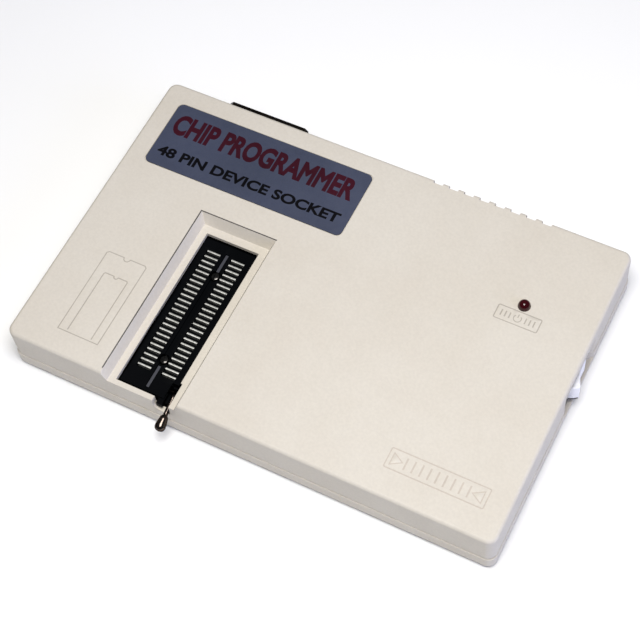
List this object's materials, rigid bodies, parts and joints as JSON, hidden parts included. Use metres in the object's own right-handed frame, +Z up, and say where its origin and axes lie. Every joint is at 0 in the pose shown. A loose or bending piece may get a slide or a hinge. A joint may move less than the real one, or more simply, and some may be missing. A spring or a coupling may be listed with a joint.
{
  "type": "chip programmer",
  "caption": "Flat desktop chip programmer: two-shell case with a lever-operated insertion socket in a well, power lamp, rocker switch, rear data connector and DC inlet.",
  "frame": {"origin": "on the supporting surface, under the middle of the whole object's box", "axes": "+X to the right along the long side, +Y to the rear with the data connector, +Z up"},
  "size_m": [0.2192, 0.1536, 0.0281],
  "materials": {
    "beige_abs": "fine satin grain",
    "label_film": "satin printed film",
    "foot_rubber": "matte",
    "screw_steel": "zinc plated",
    "board_laminate": "solder mask",
    "socket_black": "glass-filled, satin",
    "lever_steel": "polished",
    "contact_plating": "tin plated",
    "connector_steel": "dull plated",
    "black_nylon": "satin",
    "brass": "tinned brass",
    "rocker_white": "gloss",
    "red_lens": "clear tinted epoxy",
    "aluminium": "extruded",
    "capacitor_sleeve": "shrink sleeve",
    "resistor_coating": "dipped epoxy",
    "crystal_can": "drawn can",
    "chip_epoxy": "moulded epoxy"
  },
  "bodies": {
    "case": {"base_shell": "beige_abs", "board_screw_1": "screw_steel", "board_screw_2": "screw_steel", "board_screw_3": "screw_steel", "board_screw_4": "screw_steel", "capacitor_1": "capacitor_sleeve", "capacitor_2": "capacitor_sleeve", "capacitor_3": "capacitor_sleeve", "case_screw_1": "screw_steel", "case_screw_2": "screw_steel", "case_screw_3": "screw_steel", "case_screw_4": "screw_steel", "connector_body": "black_nylon", "connector_insert": "black_nylon", "connector_shell": "connector_steel", "crystal": "crystal_can", "dc_inlet": "black_nylon", "dc_inlet_pin": "brass", "driver_chip_1": "chip_epoxy", "driver_chip_2": "chip_epoxy", "driver_chip_3": "chip_epoxy", "driver_chip_4": "chip_epoxy", "heat_sink": "aluminium", "inductor": "chip_epoxy", "jack_screw_1": "screw_steel", "jack_screw_2": "screw_steel", "led_spacer": "black_nylon", "logic_chip_1": "chip_epoxy", "logic_chip_2": "chip_epoxy", "main_board": "board_laminate", "microcontroller": "chip_epoxy", "microcontroller_socket": "black_nylon", "name_label": "label_film", "power_led": "red_lens", "power_switch_housing": "black_nylon", "regulator_1": "chip_epoxy", "regulator_2": "chip_epoxy", "resistor_network_1": "resistor_coating", "resistor_network_2": "resistor_coating", "rubber_foot_1": "foot_rubber", "rubber_foot_2": "foot_rubber", "rubber_foot_3": "foot_rubber", "rubber_foot_4": "foot_rubber", "socket_base": "socket_black", "socket_contacts_left": "contact_plating", "socket_contacts_right": "contact_plating", "socket_cover_screw_1": "screw_steel", "socket_cover_screw_2": "screw_steel", "switch_terminal_1": "brass", "switch_terminal_2": "brass", "top_shell": "beige_abs"},
    "cover_plate": {"socket_slide_plate": "socket_black"},
    "lever": {"socket_lever": "lever_steel"},
    "rocker": {"power_switch_rocker": "rocker_white"}
  },
  "joints": [
    {"name": "lever_hinge", "type": "hinge", "parent": "case", "child": "lever", "pos_m": [-0.03478, -0.06025, 0.0157], "axis": [-1, 0, 0], "range_deg": [0, 105]},
    {"name": "cover_slide", "type": "slide", "parent": "case", "child": "cover_plate", "axis": [0, 1, 0], "range_m": [0, 0.0007]},
    {"name": "rocker_hinge", "type": "hinge", "parent": "case", "child": "rocker", "pos_m": [0.10372, 0.01495, 0.0125], "axis": [0, 0, -1], "range_deg": [0, 24]}
  ],
  "couplings": [
    {"joint": "lever_hinge", "follows": "cover_slide", "rad_per_m": 2618}
  ]
}
